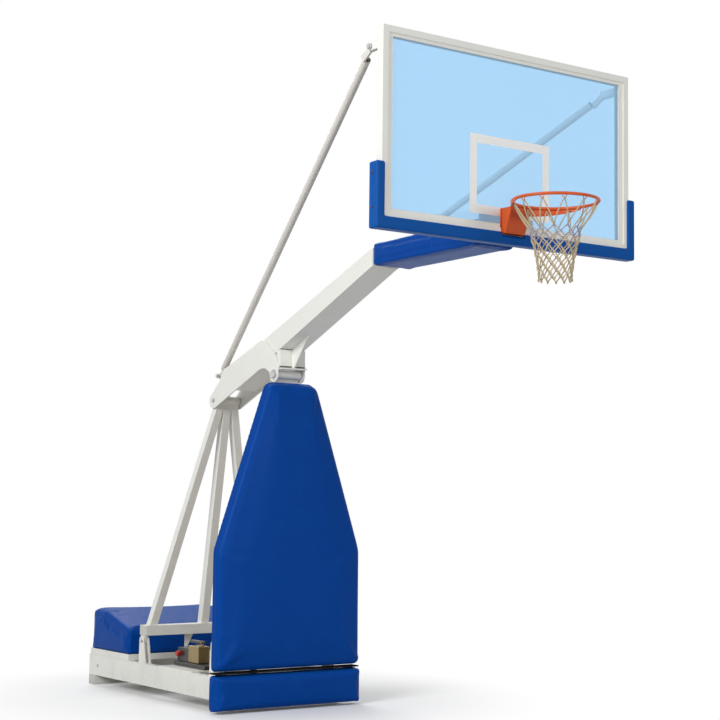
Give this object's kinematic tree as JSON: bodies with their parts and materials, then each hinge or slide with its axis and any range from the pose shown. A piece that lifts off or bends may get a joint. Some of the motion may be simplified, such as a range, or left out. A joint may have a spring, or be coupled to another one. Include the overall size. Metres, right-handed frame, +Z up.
{
  "type": "portable basketball stand",
  "caption": "Wheeled basketball goal with padded tapered mast, folding lift arm, strut frame, tie rods, framed glass board, tilting rim and net.",
  "frame": {"origin": "on the floor, in the middle of the width and of the overall length", "axes": "+Z up, the hoop faces -Y and the ballast is at +Y, +X is to the right for a player facing the board"},
  "size_m": [1.914, 4.851, 3.955],
  "materials": {
    "white_paint": "satin",
    "blue_vinyl": "satin vinyl",
    "pad_board": "matt",
    "board_glass": "clear",
    "grey_bead": "matt",
    "zinc_steel": "zinc plated",
    "orange_paint": "gloss",
    "net_rope": "twisted cord",
    "ballast_iron": "rough",
    "black_paint": "satin",
    "brass": "dull",
    "red_knob": "gloss",
    "wheel_tread": "matt"
  },
  "bodies": {
    "base": {"side_rail_left": "white_paint", "side_rail_right": "white_paint", "front_cross_member": "white_paint", "front_wheel_beam": "white_paint", "middle_cross_member": "white_paint", "rear_wheel_beam": "white_paint", "rear_foot_beam": "white_paint", "ballast_tray": "white_paint", "ballast_block_1": "ballast_iron", "ballast_block_2": "ballast_iron", "ballast_cover": "blue_vinyl", "mast_foot_shaft": "white_paint", "lower_front_pad": "blue_vinyl", "lower_pad_board": "pad_board", "pump_tank": "black_paint", "pump_body": "brass"},
    "front_wheel_left": {"front_castor_left_wheel": "wheel_tread"},
    "front_wheel_right": {"front_castor_right_wheel": "wheel_tread"},
    "rear_fork_left": {"rear_castor_left_fork": "zinc_steel"},
    "rear_fork_right": {"rear_castor_right_fork": "zinc_steel"},
    "rear_wheel_left": {"rear_castor_left_wheel": "wheel_tread"},
    "rear_wheel_right": {"rear_castor_right_wheel": "wheel_tread"},
    "jack_left": {"front_jack_left": "zinc_steel"},
    "jack_right": {"front_jack_right": "zinc_steel"},
    "knob": {"release_knob": "red_knob"},
    "lever": {"pump_lever": "black_paint"},
    "barrel": {"cylinder_barrel": "black_paint"},
    "ram": {"cylinder_ram": "zinc_steel"},
    "mast": {"mast_post_left": "white_paint", "mast_post_right": "white_paint", "mast_foot_tube": "white_paint", "mast_head": "white_paint", "mast_lower_rail": "white_paint", "mast_upper_rail": "white_paint", "upper_front_pad": "blue_vinyl", "upper_pad_board": "pad_board"},
    "arm": {"arm_beam": "white_paint", "arm_nose": "white_paint", "arm_pad": "blue_vinyl", "arm_pivot_shaft": "zinc_steel", "arm_side_plate_left": "white_paint", "arm_side_plate_right": "white_paint", "arm_tail_pin": "zinc_steel"},
    "strut_frame": {"strut_crossbar": "white_paint", "strut_head": "white_paint", "strut_left": "white_paint", "strut_middle": "white_paint", "strut_right": "white_paint"},
    "board": {"board_frame": "white_paint", "board_glass": "board_glass", "glazing_bead": "grey_bead", "board_carrier": "white_paint", "board_pad": "blue_vinyl", "rim_back_plate": "orange_paint"},
    "rim": {"rim_housing": "orange_paint", "rim_ring": "orange_paint", "net": "net_rope"},
    "tie_rods": {"tie_rod_left": "white_paint", "tie_rod_right": "white_paint", "tie_rod_foot_bolt": "zinc_steel"}
  },
  "joints": [
    {"name": "mast_fold", "type": "hinge", "parent": "base", "child": "mast", "pos_m": [0, 0.635, 0.42], "axis": [-1, 0, 0], "range_deg": [0, 45]},
    {"name": "strut_fold", "type": "hinge", "parent": "base", "child": "strut_frame", "pos_m": [0, 1.599, 0.381], "axis": [-1, 0, 0], "range_deg": [0, 47]},
    {"name": "arm_fold", "type": "hinge", "parent": "mast", "child": "arm", "pos_m": [0, 0.51, 2.23], "axis": [-1, 0, 0], "range_deg": [-54, 0]},
    {"name": "board_tilt", "type": "hinge", "parent": "arm", "child": "board", "pos_m": [0, -1.705, 2.93], "axis": [-1, 0, 0], "range_deg": [0, 11]},
    {"name": "tie_rod_swing", "type": "hinge", "parent": "board", "child": "tie_rods", "pos_m": [0, -1.655, 3.87], "axis": [-1, 0, 0], "range_deg": [-10, 0]},
    {"name": "cylinder_lean", "type": "hinge", "parent": "base", "child": "barrel", "pos_m": [0, 0.905, 0.2], "axis": [-1, 0, 0], "range_deg": [0, 28.5]},
    {"name": "cylinder_stroke", "type": "slide", "parent": "barrel", "child": "ram", "axis": [0, -0.3363, 0.9417], "range_m": [-0.185, 0]},
    {"name": "rim_release", "type": "hinge", "parent": "board", "child": "rim", "pos_m": [0, -1.822, 2.912], "axis": [1, 0, 0], "range_deg": [0, 30], "stiffness_Nm_per_rad": 300, "springref_deg": -20.05},
    {"name": "front_wheel_spin_left", "type": "hinge", "parent": "base", "child": "front_wheel_left", "pos_m": [-0.33, 0.72, 0.0685], "axis": [1, 0, 0], "continuous": true},
    {"name": "rear_swivel_left", "type": "hinge", "parent": "base", "child": "rear_fork_left", "pos_m": [-0.22, 2.02, 0.142], "axis": [0, 0, 1], "continuous": true},
    {"name": "rear_wheel_spin_left", "type": "hinge", "parent": "rear_fork_left", "child": "rear_wheel_left", "pos_m": [-0.22, 2.05, 0.0685], "axis": [1, 0, 0], "continuous": true},
    {"name": "jack_lift_left", "type": "slide", "parent": "base", "child": "jack_left", "axis": [0, 0, 1], "range_m": [0, 0.03]},
    {"name": "front_wheel_spin_right", "type": "hinge", "parent": "base", "child": "front_wheel_right", "pos_m": [0.33, 0.72, 0.0685], "axis": [1, 0, 0], "continuous": true},
    {"name": "rear_swivel_right", "type": "hinge", "parent": "base", "child": "rear_fork_right", "pos_m": [0.22, 2.02, 0.142], "axis": [0, 0, 1], "continuous": true},
    {"name": "rear_wheel_spin_right", "type": "hinge", "parent": "rear_fork_right", "child": "rear_wheel_right", "pos_m": [0.22, 2.05, 0.0685], "axis": [1, 0, 0], "continuous": true},
    {"name": "jack_lift_right", "type": "slide", "parent": "base", "child": "jack_right", "axis": [0, 0, 1], "range_m": [0, 0.03]},
    {"name": "release_turn", "type": "hinge", "parent": "base", "child": "knob", "pos_m": [-0.345, 1.3, 0.31], "axis": [1, 0, 0], "range_deg": [0, 90]},
    {"name": "lever_pump", "type": "hinge", "parent": "base", "child": "lever", "pos_m": [-0.305, 1.06, 0.4], "axis": [1, 0, 0], "range_deg": [0, 35]}
  ],
  "couplings": [
    {"joint": "strut_fold", "follows": "mast_fold", "ratio": 1.039},
    {"joint": "arm_fold", "follows": "mast_fold", "ratio": -1.187},
    {"joint": "board_tilt", "follows": "mast_fold", "ratio": 0.241},
    {"joint": "tie_rod_swing", "follows": "mast_fold", "ratio": -0.212},
    {"joint": "cylinder_lean", "follows": "mast_fold", "ratio": 0.621},
    {"joint": "cylinder_stroke", "follows": "mast_fold", "m_per_rad": -0.23}
  ]
}
